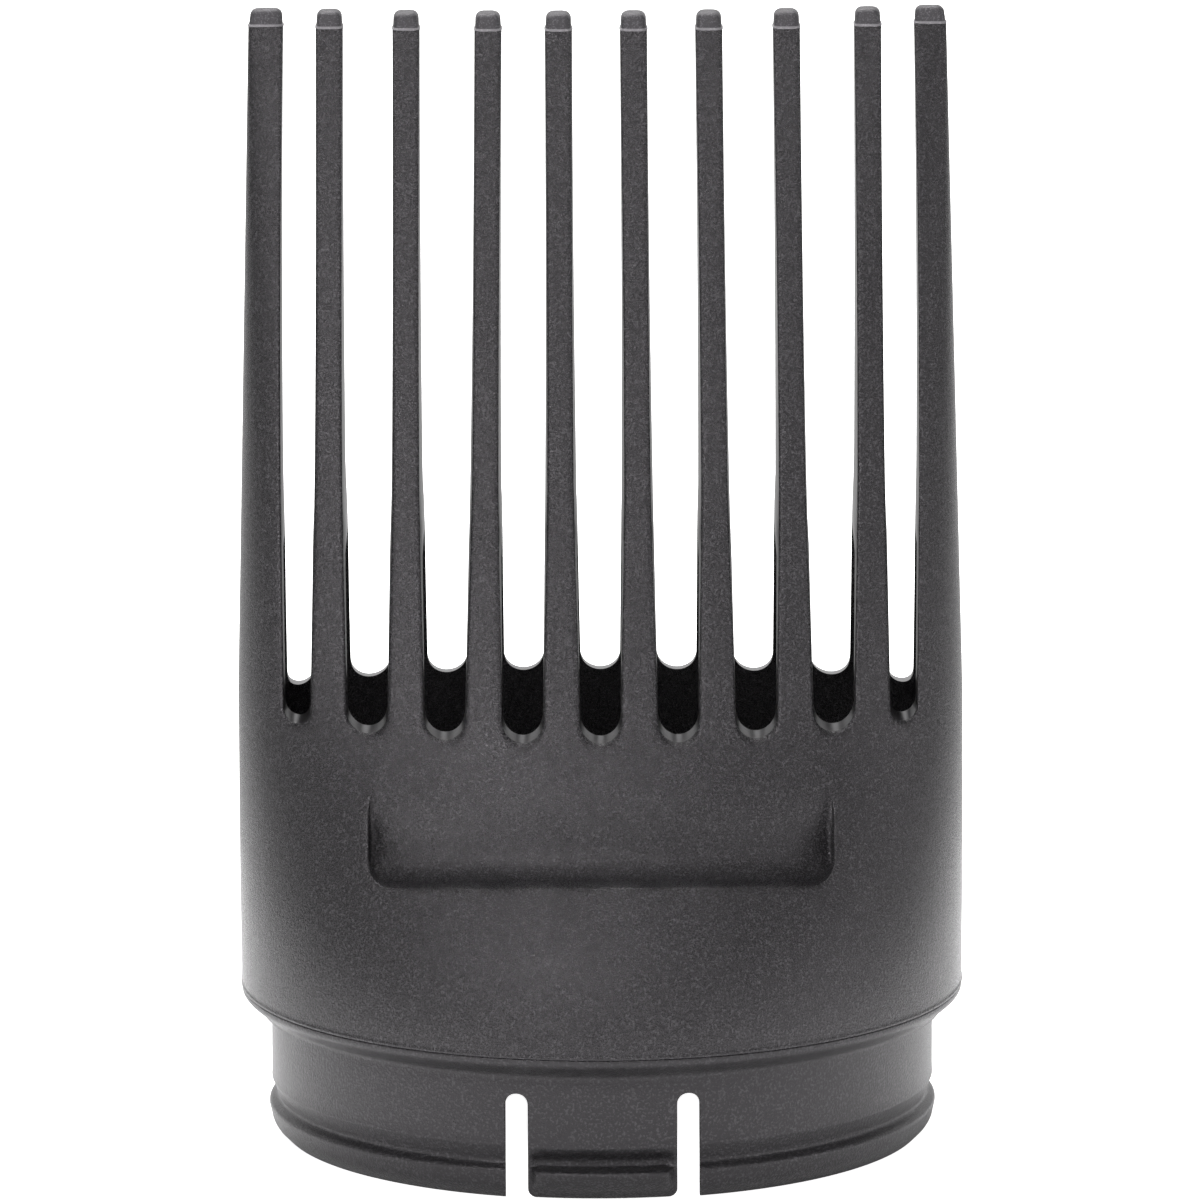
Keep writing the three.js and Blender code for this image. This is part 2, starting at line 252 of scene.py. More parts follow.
def half_width(z):
    up = max(0.0, (z - SIDE_TAPER_Z) / (HEIGHT - SIDE_TAPER_Z))
    return BODY_R - (BODY_R - TIP_HALF_WIDTH) * up


def oval_power(z):
    up = max(0.0, (z - OVAL_Z) / (HEIGHT - OVAL_Z))
    return 2 + (TIP_OVAL_POWER - 2) * up * up


def plan(z, inset=0.0):
    """Half-width, half-depth and power of the superellipse at a height."""
    slope = (half_depth(z + 0.1) - half_depth(z)) / 0.1
    return half_width(z) - inset, half_depth(z) - inset * math.hypot(1, slope), oval_power(z)


def depth_at(x, z, inset=0.0):
    a, b, power = plan(z, inset)
    return b * max(0.0, 1 - abs(x / a) ** power) ** (1 / power)


def around(phi, z, inset=0.0):
    """The form's point in direction phi, which is 0 at the front and grows towards +X."""
    a, b, power = plan(z, inset)
    s, c = math.sin(phi), math.cos(phi)
    reach = (abs(s) ** power + abs(c) ** power) ** (-1 / power)
    return a * reach * s, -b * reach * c, z


def direction(x, z, inset=0.0):
    """The front direction phi of the form's point at a place along its width."""
    a, _, power = plan(z, inset)
    share = min(abs(x / a), 1.0) ** power
    if share >= 1 - 1e-9:
        return math.copysign(math.pi / 2, x)
    return math.copysign(math.atan((share / (1 - share)) ** (1 / power)), x)


# ---- teeth and slots -----------------------------------------------------------------------

def arch(x):
    return ARCH_RISE * (x / ARCH_HALF_SPAN) ** 2


def up_tooth(z):
    return (z - SLOT_BOTTOM_Z) / (HEIGHT - SLOT_BOTTOM_Z)


def end_tooth_inner(z):
    return END_TOOTH_INNER_X + 4 * END_TOOTH_BOW * up_tooth(z) * (1 - up_tooth(z))


def tooth_side(index, side, z):
    lean = TOOTH_LEAN[index] * up_tooth(z)
    if index == 0 and side > 0:
        return lean - end_tooth_inner(z)
    if index == TEETH - 1 and side < 0:
        return lean + end_tooth_inner(z)
    if index in (0, TEETH - 1):
        return side * half_width(z)
    flare = (TOOTH_HALF_WIDTH_ROOT - TOOTH_HALF_WIDTH_TIP) * (1 - up_tooth(z)) ** TOOTH_FLARE_POWER
    return (index - (TEETH - 1) / 2) * PITCH + lean + side * (TOOTH_HALF_WIDTH_TIP + flare)


def tooth_centre(index, z):
    return (tooth_side(index, -1, z) + tooth_side(index, 1, z)) / 2


def edge_round(z):
    return ROOT_ROUND + (TIP_EDGE_ROUND - ROOT_ROUND) * min(1.0, max(0.0, up_tooth(z)))


def tooth_top(index):
    """Height of the joint line below a tooth's tip."""
    return HEIGHT - ARCH_RISE + arch(tooth_centre(index, HEIGHT)) - TIP_LENGTH


FOOT_TOP_Z = 39.9  # above the slots' round feet
FOOT_LEVELS = np.linspace(JOIN_Z, FOOT_TOP_Z, CORNER_STEPS + 1)
HOLLOW_LEVELS = [41, 42.3, 43.8, 45.5, 47.2, 48.9, 50.6, ROOF_Z]
TOOTH_LEVELS = [54, 56, 58.5, 61, 64, 67, 70, 73, 76, 79, 82, 85, 88, 91, 93.5, 95.5, 96.6]
UPPER_LEVELS = [float(FOOT_LEVELS[-1])] + HOLLOW_LEVELS + TOOTH_LEVELS


def tooth_levels(index):
    """Mesh heights up a tooth, with the last at its joint line."""
    return UPPER_LEVELS + [tooth_top(index) + TIP_SEAT]


class Slot:
    """The gap between two neighbouring teeth: its outline, and the mesh lines that run from it to
    the middles of the teeth on either side and to the lower body."""

    def __init__(self, index):
        self.index = index
        left = tooth_side(index, 1, SLOT_BOTTOM_Z)
        right = tooth_side(index + 1, -1, SLOT_BOTTOM_Z)
        self.centre = (left + right) / 2
        self.radius = (right - left) / 2
        self.root = SLOT_BOTTOM_Z + arch(self.centre) + self.radius

    def side_line(self, tooth, side):
        """(outline point, outward direction, rounding, outer point) up one side."""
        levels = tooth_levels(tooth)
        settled = levels.index(HOLLOW_LEVELS[1])
        lines = []
        for i, z in enumerate(levels):
            share = min(1.0, i / settled)
            height = z if share == 1 else self.root + (levels[settled] - self.root) * share
            lines.append(((tooth_side(tooth, side, height), height), (-side, 0.0), edge_round(z),
                          (tooth_centre(tooth, z), z)))
        return lines

    def lines(self):
        """All mesh lines, from the top of the left tooth round the foot to the top of the right."""
        left = self.side_line(self.index, 1)
        right = self.side_line(self.index + 1, -1)
        steps = 2 * CORNER_STEPS + FOOT_STEPS
        left_x = [tooth_centre(self.index, z) for z in FOOT_LEVELS]
        right_x = [tooth_centre(self.index + 1, z) for z in FOOT_LEVELS]
        outer = [(x, float(z)) for x, z in zip(reversed(left_x), reversed(FOOT_LEVELS))]
        for i in range(1, FOOT_STEPS):
            outer.append((left_x[0] + (right_x[0] - left_x[0]) * i / FOOT_STEPS, JOIN_Z))
        outer += [(x, float(z)) for x, z in zip(right_x, FOOT_LEVELS)]
        foot = []
        for i in range(1, steps):
            angle = math.pi * (1 + i / steps)
            out = (math.cos(angle), math.sin(angle))
            point = (self.centre + self.radius * out[0], self.root + self.radius * out[1])
            rounding = ROOT_ROUND + (LIP_ROUND - ROOT_ROUND) * out[1] ** 2
            foot.append((point, out, rounding, outer[i]))
        return [(p, (-1.0, 0.0), r, o) for p, _, r, o in reversed(left)] + foot + \
               [(p, (1.0, 0.0), r, o) for p, _, r, o in right]


SLOTS = [Slot(i) for i in range(TEETH - 1)]


def widening(point, out):
    """How much wider a slot is at the outer skin than at its narrowest place."""
    x, z = point
    solid = float(smoothstep((z - DRAFT_START_Z) / (DRAFT_FULL_Z - DRAFT_START_Z)))
    inside = depth_at(x, z, WALL) * (1 - solid)
    return DRAFT * (depth_at(x, z) - inside) + FOOT_FLARE * max(0.0, -out[1])


def front_rows(slot, facing):
    """Rows of points on the outer skin round a slot, from its edge outwards."""
    rows = []
    lines = slot.lines()
    for degrees in EDGE_ANGLES:
        s, c = math.sin(math.radians(degrees)), math.cos(math.radians(degrees))
        row = []
        for point, out, rounding, _ in lines:
            aside = widening(point, out) + rounding * (1 - c)
            x, z = point[0] + out[0] * aside, point[1] + out[1] * aside
            row.append((x, facing * (depth_at(x, z) - rounding * (1 - s)), z))
        rows.append(row)
    for share in FACE_SHARES:
        row = []
        for point, out, rounding, outer in lines:
            aside = widening(point, out) + rounding
            x0, z0 = point[0] + out[0] * aside, point[1] + out[1] * aside
            x, z = x0 + (outer[0] - x0) * share, z0 + (outer[1] - z0) * share
            row.append((x, facing * depth_at(x, z), z))
        rows.append(row)
    return rows


def hollow_limit(x, z):
    """x kept inside the hollow's half-width."""
    limit = half_width(z) - WALL
    return max(-limit, min(limit, x))


def inner_rows(slot, facing, lines):
    """Rows of points on the hollow's wall round a slot, from its edge outwards."""

    def reaches_end(outer):
        """Which end of the hollow a line runs to: -1, 1, or 0 for neither."""
        if slot.index == 0 and outer[0] <= tooth_centre(0, outer[1]) + ROUND:
            return -1
        if slot.index == TEETH - 2 and outer[0] >= tooth_centre(TEETH - 1, outer[1]) - ROUND:
            return 1
        return 0

    rows = []
    for share in INNER_SHARES:
        row = []
        for point, _, _, outer in lines:
            x = point[0] + (hollow_limit(outer[0], outer[1]) - point[0]) * share
            z = point[1] + (outer[1] - point[1]) * share
            if share == 1.0 and reaches_end(outer):
                x = reaches_end(outer) * (half_width(z) - WALL)
            row.append((x, facing * depth_at(x, z, WALL), z))
        rows.append(row)
    return rows


def add_slot(surface, slot):
    """The skin and the hollow's wall round a slot, its own walls, and the solid teeth beside it."""
    lines = slot.lines()
    below_roof = [i for i, line in enumerate(lines) if line[3][1] <= ROOF_Z + ROUND]
    first, last = below_roof[0], below_roof[-1]
    skins, hollows = [], []
    for facing in (FRONT, BACK):
        skin = front_rows(slot, facing)
        surface.grid(skin)
        hollow = inner_rows(slot, facing, lines[first:last + 1])
        surface.grid(hollow)
        edge = skin[0][first:last + 1]
        middle = [tuple((p + q) / 2 for p, q in zip(a, b)) for a, b in zip(edge, hollow[0])]
        surface.finish = SLOT_FINISH
        surface.grid([edge, middle, hollow[0]])
        surface.finish = 0
        skins.append(skin)
        hollows.append(hollow)
    for end, roof in ((0, first), (-1, last)):
        add_solid_side(surface, lines, skins, hollows, end, roof)


def add_solid_side(surface, lines, skins, hollows, end, roof):
    """The side of the tooth on the left (end 0) or right (end -1) of a slot, above the mesh line
    `roof`, where the teeth are solid."""
    span = range(0, roof + 1) if end == 0 else range(roof, len(lines))
    edges = skins[0][0]
    wall = abs(hollows[0][0][end][1] / edges[roof][1])
    rows = []
    for share in (-1.0, -(1 + wall) / 2, -wall, 0.0, wall, (1 + wall) / 2, 1.0):
        row = []
        for i in span:
            (middle_x, _), edge = lines[i][0], edges[i]
            at_roof = max(0.0, (abs(share) - wall) / (1 - wall))
            drafted = float(smoothstep((edge[2] - ROOF_Z) / DRAFT_TURN))
            aside = at_roof + (abs(share) - at_roof) * drafted
            row.append((middle_x + (edge[0] - middle_x) * aside, abs(edge[1]) * share, edge[2]))
        rows.append(row)
    surface.finish = SLOT_FINISH
    surface.grid(rows)
    surface.finish = 0
    # The tooth's top, under its tip
    lid = [[f[end]] * 4 + [b[end]] * 3 for f, b in zip(*skins)]
    surface.grid([[row[end] for row in rows]] + lid[1:])
    # Its underside, over the hollow
    under = [[f[end], f[end], b[end]] for f, b in zip(*hollows)]
    under[0][1] = rows[3][-1 if end == 0 else 0]
    surface.grid(under)


def end_side_rows(index):
    """Rows of points round the outer side of an end tooth and of the body below it."""
    heights = [float(z) for z in FOOT_LEVELS[:-1]] + tooth_levels(index)
    rows = []
    for z in heights:
        start = direction(tooth_centre(index, z), z)
        end = math.copysign(math.pi, start) - start
        rows.append([around(start + (end - start) * i / SIDE_STEPS, z) for i in range(SIDE_STEPS + 1)])
    return rows


# ---- lower body with the grip recess -------------------------------------------------------

def ridge_inset(z):
    """How far the lower body stands in from the CAD form: nothing on the fine raised line at the
    seam, a little just above it, and nothing again higher up."""
    up = (z - SEAM_Z) / RIDGE_HEIGHT
    if up <= RIDGE_CREST:
        return RIDGE_FOOT * (1 - up / RIDGE_CREST) ** 2
    if z < SEAM_Z + RIDGE_HEIGHT:
        return RIDGE_DEPTH * (2 * (up - RIDGE_CREST)) ** 2
    return RIDGE_DEPTH * (1 - float(smoothstep((z - RIDGE_FADE_Z) / RIDGE_FADE_HEIGHT)))


def recess_side(z):
    """Half-width of the recess at a height; its upper corners turn in."""
    return RECESS_HALF_WIDTH - RECESS_TURN * max(0.0, (z - RECESS_TURN_Z) / RECESS_TURN_HEIGHT) ** 2


def recess_floor(x):
    return RECESS_HALF_DEPTH * math.sqrt(max(0.0, 1 - (x / BODY_R) ** 2))


def recess_low(x):
    """Height of the recess's lower edge."""
    return RECESS_LOW_Z + RECESS_ARCH * max(0.0, 1 - (x / (RECESS_HALF_WIDTH - RECESS_CORNER)) ** 2)


def cove(distance, run, rise):
    """How much a rounded inner corner fills at a distance from the wall."""
    return rise * (1 - math.sqrt(1 - (1 - min(max(distance / run, 0.0), 1.0)) ** 2))


def recess_drop(x, z):
    """Depth of the recess below the outer form: fading out at its top, and coved at its walls."""
    outer, floor = depth_at(x, z), recess_floor(x)
    soft = 0.5 * (outer + floor - math.sqrt((outer - floor) ** 2 + RECESS_BLEND ** 2))
    fade = 1 - float(smoothstep((z - RECESS_FADE_Z) / (RECESS_TOP_Z + 0.1 - RECESS_FADE_Z)))
    full = max(0.0, outer - soft) * fade
    at_ledge = cove(z - recess_low(x), LEDGE_COVE, LEDGE_COVE_SHARE * full)
    at_side = cove(recess_side(z) - abs(x), SIDE_COVE, SIDE_COVE_SHARE * full)
    filled = (at_ledge ** COVE_BLEND + at_side ** COVE_BLEND) ** (1 / COVE_BLEND)
    return full - min(COVE_LIMIT * full, filled)


def recess_outline(offset):
    """The recess's outline moved inwards by offset, as (x, z) points from its upper left corner."""
    low = RECESS_LOW_Z
    corner = RECESS_CORNER
    centre_x, centre_z = RECESS_HALF_WIDTH - corner, low + corner
    points = []
    for z in np.linspace(RECESS_TOP_Z, centre_z, OUTLINE_SIDE + 1)[:-1]:
        points.append((-(recess_side(z) - offset), float(z)))
    for angle in np.linspace(math.pi, 1.5 * math.pi, OUTLINE_CORNER):
        points.append((-centre_x + (corner - offset) * math.cos(angle),
                       centre_z + (corner - offset) * math.sin(angle)))
    for x in np.linspace(-centre_x, centre_x, OUTLINE_LEDGE)[1:-1]:
        points.append((float(x), low + offset + RECESS_ARCH * (1 - (x / centre_x) ** 2)))
    points += [(-x, z) for x, z in reversed(points[:OUTLINE_SIDE + OUTLINE_CORNER])]
    return points


def recess_rings():
    """(offset, how the drop there follows from the full drop) across the recess's wall."""
    def rounded(full, c):
        return min(RECESS_EDGE, RECESS_EDGE_SHARE * full) * (1 - c)

    rings = [(-RECESS_EDGE - RECESS_APRON, lambda full: 0.0)]
    for degrees in (0, 25, 50, 70, 90):
        s, c = math.sin(math.radians(degrees)), math.cos(math.radians(degrees))
        rings.append((-RECESS_EDGE * (1 - s), lambda full, c=c: rounded(full, c)))
    return rings + [(offset, lambda full: full) for offset in RECESS_WALL_OFFSETS]


def body_rows():
    """Heights of the lower body's mesh rows: close at the seam, and closer again across the recess."""
    below, across = np.linspace(14, 26, 16), np.linspace(26.4, 32.4, 16)
    above = np.linspace(33, JOIN_Z, 7)
    return [SEAM_Z + up for up in RIDGE_ROWS] + [float(z) for z in (*below, *across, *above)]


def front_columns():
    """x of the mesh columns where the lower body meets the slots, across the front."""
    columns = []
    for slot in SLOTS:
        row = [line[3] for line in slot.lines() if abs(line[3][1] - JOIN_Z) < 1e-9]
        columns += [x for x, _ in row if not columns or x > columns[-1] + 1e-6]
    return columns


def ridge_scale(z):
    return 1 - ridge_inset(z) / BODY_R


def place_body(x, z, drop=0.0):
    shrink = ridge_scale(z)
    return x, drop - shrink * depth_at(x / shrink, z), z


def column_point(phi, z):
    x, y, _ = around(phi, z)
    return x * ridge_scale(z), y * ridge_scale(z), z


def add_front_body(surface, phis):
    """The lower body's front: a grid, with the recess's outline worked into it."""
    heights = body_rows()
    rings = recess_rings()
    ring_points = [(recess_outline(offset), rule) for offset, rule in rings]
    outline = np.array(recess_outline(0.0))
    points, places, edges = [], [], []
    grid_index = {}

    def insert(x, z, drop):
        points.append(Vector((x, z)))
        places.append((x, z, drop))
        return len(points) - 1

    inner_keep, outer_keep = rings[-1][0] + GRID_MARGIN, rings[0][0] - GRID_MARGIN
    for j, z in enumerate(heights):
        for i, phi in enumerate(phis):
            x, _, _ = column_point(phi, z)
            border = j in (0, len(heights) - 1) or i in (0, len(phis) - 1)
            distance = float(np.sqrt(((outline - (x, z)) ** 2).sum(1)).min())
            inside = abs(x) < recess_side(z) and recess_low(x) < z < RECESS_TOP_Z + 1
            signed = distance if inside else -distance
            if not border and outer_keep < signed < inner_keep:
                continue
            drop = recess_drop(x, z) if signed > 0 else 0.0
            grid_index[(j, i)] = insert(x, z, drop)
    last_row = len(heights) - 1
    for i in range(len(phis) - 1):
        edges += [(grid_index[(0, i)], grid_index[(0, i + 1)]),
                  (grid_index[(last_row, i)], grid_index[(last_row, i + 1)])]
    for j in range(last_row):
        for i in (0, len(phis) - 1):
            edges.append((grid_index[(j, i)], grid_index[(j + 1, i)]))
    for outline_points, rule in ring_points:
        previous = None
        for x, z in outline_points:
            here = insert(x, z, rule(recess_drop(x, z)))
            if previous is not None:
                edges.append((previous, here))
            previous = here
    out_points, _, triangles, origin, *_ = delaunay_2d_cdt(points, edges, [], 0, 1e-7)
    index = []
    for position, sources in zip(out_points, origin):
        x, z, drop = places[sources[0]] if sources else (position.x, position.y, 0.0)
        index.append(surface.add(*place_body(x, z, drop)))
    # The side columns curve, and triangles that only bridge that curve outside them are left out
    reach = [[abs(column_point(phi, z)[0]) for z in heights] for phi in (phis[0], phis[-1])]
    for corners in triangles:
        centre_x = sum(out_points[c].x for c in corners) / 3
        centre_z = sum(out_points[c].y for c in corners) / 3
        if abs(centre_x) < float(np.interp(centre_z, heights, reach[centre_x > 0])):
            surface.face(*[index[c] for c in corners])


def add_lower_body(surface):
    heights = body_rows()
    columns = front_columns()
    phis = [direction(x, JOIN_Z) for x in columns]
    add_front_body(surface, phis)
    turn = [math.copysign(math.pi, p) - p for p in phis]

    def side_columns(start, end):
        return [start + (end - start) * i / SIDE_STEPS for i in range(SIDE_STEPS + 1)]

    # Right side, back and left side, as one strip from the last front column to the first
    right = side_columns(phis[-1], turn[-1])
    back = [t if t > 0 else t + 2 * math.pi for t in reversed(turn)]
    left = [p + 2 * math.pi for p in reversed(side_columns(phis[0], turn[0]))]
    strip = right + back[1:-1] + left
    surface.grid([[column_point(phi, z) for phi in strip] for z in heights])
    # Rim at the seam, and the hollow's wall
    inner_x = [hollow_limit(x, JOIN_Z) for x in columns]
    inner_x[0], inner_x[-1] = -(half_width(JOIN_Z) - WALL), half_width(JOIN_Z) - WALL
    inner_front = [direction(x, JOIN_Z, WALL) for x in inner_x]
    inner_back = [math.pi - p for p in reversed(inner_front)]
    inner = inner_front + inner_back[1:-1]
    hollow_rows = []
    for z in np.linspace(JOIN_Z, SEAM_Z, HOLLOW_ROWS):
        row = []
        for phi in inner:
            x, y, _ = around(phi, z, WALL)
            if y < 0:
                floor = recess_floor(x) - WALL
                near = min(recess_side(z) + WALL - abs(x), z - RECESS_LOW_Z + WALL, RECESS_TOP_Z - z)
                y += max(0.0, -y - floor) * float(smoothstep(near / HOLLOW_FADE))
            row.append((x, y, float(z)))
        hollow_rows.append(row)
    surface.grid(hollow_rows, closed=True)
    rim_out = [column_point(phi, SEAM_Z) for phi in phis + strip[1:-1]]
    wall = hollow_rows[-1]
    count = len(columns)
    side = SIDE_STEPS - 1
    rim_in = wall[:count] + [wall[count - 1]] * side + wall[count - 1:] + [wall[0]] * (side + 1)
    surface.grid([rim_out, rim_in], closed=True)


def make_body(skin, slot_wall):
    surface = Surface()
    for slot in SLOTS:
        add_slot(surface, slot)
    for index in (0, TEETH - 1):
        rows = end_side_rows(index)
        surface.grid(rows)
        half = SIDE_STEPS // 2
        surface.grid([rows[-1][:half + 1], list(reversed(rows[-1][half:]))])
    add_lower_body(surface)
    body = surface.build("comb_body", [skin, slot_wall], 50)
    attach(body, "root")
    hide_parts("comb_shell", *[f"tooth_{i + 1:02d}" for i in range(TEETH)])
    return body


# ---- tips ----------------------------------------------------------------------------------

def make_tip(index, material, joint):
    """A tooth's rounded end, with the fine raised line where it meets the tooth."""
    base = tooth_top(index) + TIP_SEAT
    top = tooth_top(index) + TIP_LENGTH
    centre = tooth_centre(index, base)
    half = tooth_side(index, 1, base) - centre
    depth = depth_at(centre, base)
    surface = Surface()
    profile = [(base + up, slim) for up, slim in TIP_LINE]
    start = top - TIP_ROUND
    over_line = profile[-1][0]
    profile += [(over_line + (start - over_line) * t, TIP_INSET + TIP_DRAFT * t)
                for t in (0.35, 0.7, 1.0)]
    for degrees in (12, 24, 36, 48, 60, 70, 80, 87):
        s, c = math.sin(math.radians(degrees)), math.cos(math.radians(degrees))
        profile.append((start + TIP_ROUND * s, TIP_INSET + TIP_DRAFT + TIP_ROUND * (1 - c)))
    outer_slope = END_TIP_SLOPE if index in (0, TEETH - 1) else 0.0
    outer_side = -1 if index == 0 else 1
    rows = []
    for z, slim in profile:
        up = (z - base) / (top - base)
        row = []
        for i in range(TIP_COLUMNS):
            t = 2 * math.pi * i / TIP_COLUMNS
            s, c = math.sin(t), math.cos(t)
            reach = (abs(s) ** TIP_POWER + abs(c) ** TIP_POWER) ** (-1 / TIP_POWER)
            extra = outer_slope * up if s * outer_side > 0 else 0.0
            row.append((centre + (half - slim - extra) * reach * s, -(depth - slim) * reach * c, z))
        rows.append(row)
    # The raised line gets the pale material: a painted highlight along it
    surface.finish = JOINT_HIGHLIGHT_FINISH
    surface.grid(rows[:len(TIP_LINE)], closed=True)
    surface.finish = 0
    surface.grid(rows[len(TIP_LINE) - 1:], closed=True)
    lid = [surface.add(*p) for p in rows[-1]]
    middle = surface.add(centre, 0.0, top)
    for i, corner in enumerate(lid):
        surface.face(corner, lid[(i + 1) % len(lid)], middle)
    foot = [surface.add(*p) for p in rows[0]]
    surface.face(*reversed(foot))
    tip = surface.build(f"comb_tip_{index + 1:02d}", [material, joint], 60)
    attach(tip, "root")
    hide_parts(f"tip_{index + 1:02d}")
    return tip


# ---- collar --------------------------------------------------------------------------------

SLOT_R = TAB_SLOT_WIDTH / 2
SLOT_CENTRE_X = TAB_HALF_WIDTH + SLOT_R
SLOT_TOP_CENTRE_Z = TAB_TOP_Z - SLOT_R
WINDOW_ROUND = 0.16  # rounding of the windows' and the tabs' edges
TAB_CORNER = 0.75  # rounding of a tab's foot corners
CATCH_HALF_WIDTH, CATCH_END_RUN = 6.25, 0.75  # of a tab's catch ridge, whose ends slope
FLANGE_EDGE, FLANGE_RISE = 0.08, 1.76  # the flange swells to this far inside the body's radius
RING_STEPS = 84
TAB_STEPS = 40


def arc_points(r, z, run, rise, start, end, steps):
    """(radius, height) points on an elliptical arc, with angles in degrees."""
    return [(r + run * math.cos(math.radians(start + (end - start) * i / steps)),
             z + rise * math.sin(math.radians(start + (end - start) * i / steps)))
            for i in range(steps + 1)]


def spigot_profile():
    """(radius, height) up the outside of the spigot wall: foot, lead-in, bead, groove, wall."""
    points = [(SPIGOT_FOOT_R - 0.12, 0.0), (SPIGOT_FOOT_R + 0.02, 0.03), (SPIGOT_FOOT_R + 0.12, 0.12)]
    points += [(28.55, 0.75), (28.75, 1.05), (28.86, 1.3), (28.95, 1.75), (29.0, 2.0), (29.07, 2.25),
               (BEAD_R, 2.42), (29.09, 2.58), (29.02, 2.72), (28.85, 2.84), (28.6, 2.96), (28.42, 3.08)]
    points += [(GROOVE_R + 0.03, 3.2), (GROOVE_R + 0.02, 3.35), (28.39, 3.6), (28.5, 3.9), (28.62, 4.2),
               (28.72, 4.45), (28.8, 4.65), (28.86, 4.78), (28.87, 4.88), (28.85, 4.98)]
    points += [(SPIGOT_R - 0.01, 5.6), (SPIGOT_R - 0.01, 6.6), (SPIGOT_R, 7.6)]
    return points


def slot_levels():
    """Heights of the mesh rows up to the slots' round tops."""
    return [SLOT_TOP_CENTRE_Z + SLOT_R * math.sin(math.radians(a)) for a in (0, 15, 30, 45, 60, 75, 90)]


def window_edge(z, side):
    """Half-width at a height of the window for the tab (side 1), or of the tab itself (side -1)."""
    if z <= SLOT_TOP_CENTRE_Z:
        return SLOT_CENTRE_X + side * SLOT_R
    up = min(1.0, (z - SLOT_TOP_CENTRE_Z) / SLOT_R)
    return SLOT_CENTRE_X + side * SLOT_R * math.sqrt(max(0.0, 1 - up * up))


def window_rounding(z):
    """Radius of the rounded edges of a window and its tab, fading out at the slots' tops."""
    up = min(1.0, max(0.0, (z - SLOT_TOP_CENTRE_Z) / SLOT_R))
    return WINDOW_ROUND * math.sqrt(1 - up * up)


def window_corner(r, z, edge, side=1):
    """(x, distance from the middle plane) round an edge of the window (side 1) or tab (side -1)."""
    points = []
    for degrees in (0, 30, 60):
        s, c = math.sin(math.radians(degrees)), math.cos(math.radians(degrees))
        x = edge + side * window_rounding(z) * (1 - c)
        radius = r - window_rounding(z) * (1 - s)
        points.append((x, math.sqrt(radius * radius - x * x)))
    return points


def padded(row):
    """A row of points with its ends repeated, to meet a row that has rounded corners as well."""
    return [row[0]] * 3 + row + [row[-1]] * 3


def upper_profile():
    """(radius, height) from the top of the window: wall, seat, rounded flange, seam, lip, bore."""
    points = [(SPIGOT_R, TAB_TOP_Z), (SPIGOT_R, 10.0), (SPIGOT_R, 10.5), (SPIGOT_R, SEAT_Z - 0.3)]
    points += arc_points(SPIGOT_R + 0.3, SEAT_Z - 0.3, 0.3, 0.3, 157, 90, 4)
    points += [(SEAT_OUTER_R - 0.35, SEAT_Z), (SEAT_OUTER_R, SEAT_Z + 0.01)]
    run = BODY_R - SEAT_OUTER_R - FLANGE_EDGE
    for up in np.linspace(0.04, 1, 14):
        points.append((SEAT_OUTER_R + run * float(smoothstep(up)), SEAT_Z + FLANGE_RISE * up))
    points += [(31.42, 12.9), (31.42, 12.98), (31.39, 13.03), (31.32, 13.06), (31.1, 13.09)]
    points += [(LIP_R + 0.1, 13.09), (LIP_R, 13.2), (LIP_R, SEAM_Z + LIP_HEIGHT - 0.2),
               (LIP_R - 0.2, SEAM_Z + LIP_HEIGHT), (BORE_R + 0.2, SEAM_Z + LIP_HEIGHT),
               (BORE_R, SEAM_Z + LIP_HEIGHT - 0.2), (BORE_R, SEAT_Z), (BORE_R, TAB_TOP_Z)]
    return points


def ring_row(r, z, edge, middle):
    """Points at one level: the right half from the front window to the back one, then the left,
    with the strips above the windows between them when `middle` is set."""
    def part(start, end, steps, skip):
        return [start + (end - start) * i / steps for i in range(skip, steps + 1 - skip)]

    width = math.asin(min(1.0, edge / r))
    right = part(width, math.pi - width, RING_STEPS, 0)
    left = [p + math.pi for p in right]
    if middle:
        back = [math.pi + math.asin(x / r) for x in part(-edge, edge, TAB_STEPS, 1)]
        front = [2 * math.pi + math.asin(x / r) for x in part(-edge, edge, TAB_STEPS, 1)]
        phis = [right + back + left + front]
    else:
        phis = [right, left]
    return [[(r * math.sin(p), -r * math.cos(p), z) for p in row] for row in phis]


def make_ring(material):
    surface = Surface()
    lower = spigot_profile() + [(SPIGOT_R, z) for z in slot_levels()]
    for half, first in ((0, -1), (1, 1)):
        rows, bore = [], []
        for r, z in lower:
            edge = window_edge(z, 1)
            corner = [(-first * x, y) for x, y in window_corner(r, z, edge)]
            row = ring_row(r, z, edge + window_rounding(z), False)[half]
            rows.append([(x, first * y, z) for x, y in corner] + row
                        + [(x, -first * y, z) for x, y in reversed(corner)])
            bore.append(ring_row(BORE_R, z, edge, False)[half])
        surface.grid(rows)
        surface.grid(bore)
        for end in (0, -1):
            surface.grid([[row[end] for row in rows], [row[end] for row in bore]])
        surface.grid([rows[0], padded(bore[0])])
    surface.grid([ring_row(r, z, SLOT_CENTRE_X, True)[0] for r, z in upper_profile()], closed=True)
    # The wall's lower edge over each window
    for facing in (FRONT, BACK):
        surface.grid([[(x, facing * math.sqrt(r * r - x * x), TAB_TOP_Z)
                       for x in np.linspace(-SLOT_CENTRE_X, SLOT_CENTRE_X, TAB_STEPS + 1)]
                      for r in (SPIGOT_R, BORE_R)])
    ring = surface.build("collar", [material], 38)
    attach(ring, "root")
    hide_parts("collar_ring")
    return ring


def tab_half_width(z):
    """Half-width of the tab: rounded foot corners, straight sides, spreading into the ring."""
    if z < TAB_FOOT_Z + TAB_CORNER:
        down = TAB_CORNER - (z - TAB_FOOT_Z)
        return TAB_HALF_WIDTH - TAB_CORNER + math.sqrt(max(0.0, TAB_CORNER ** 2 - down ** 2))
    return window_edge(z, -1)


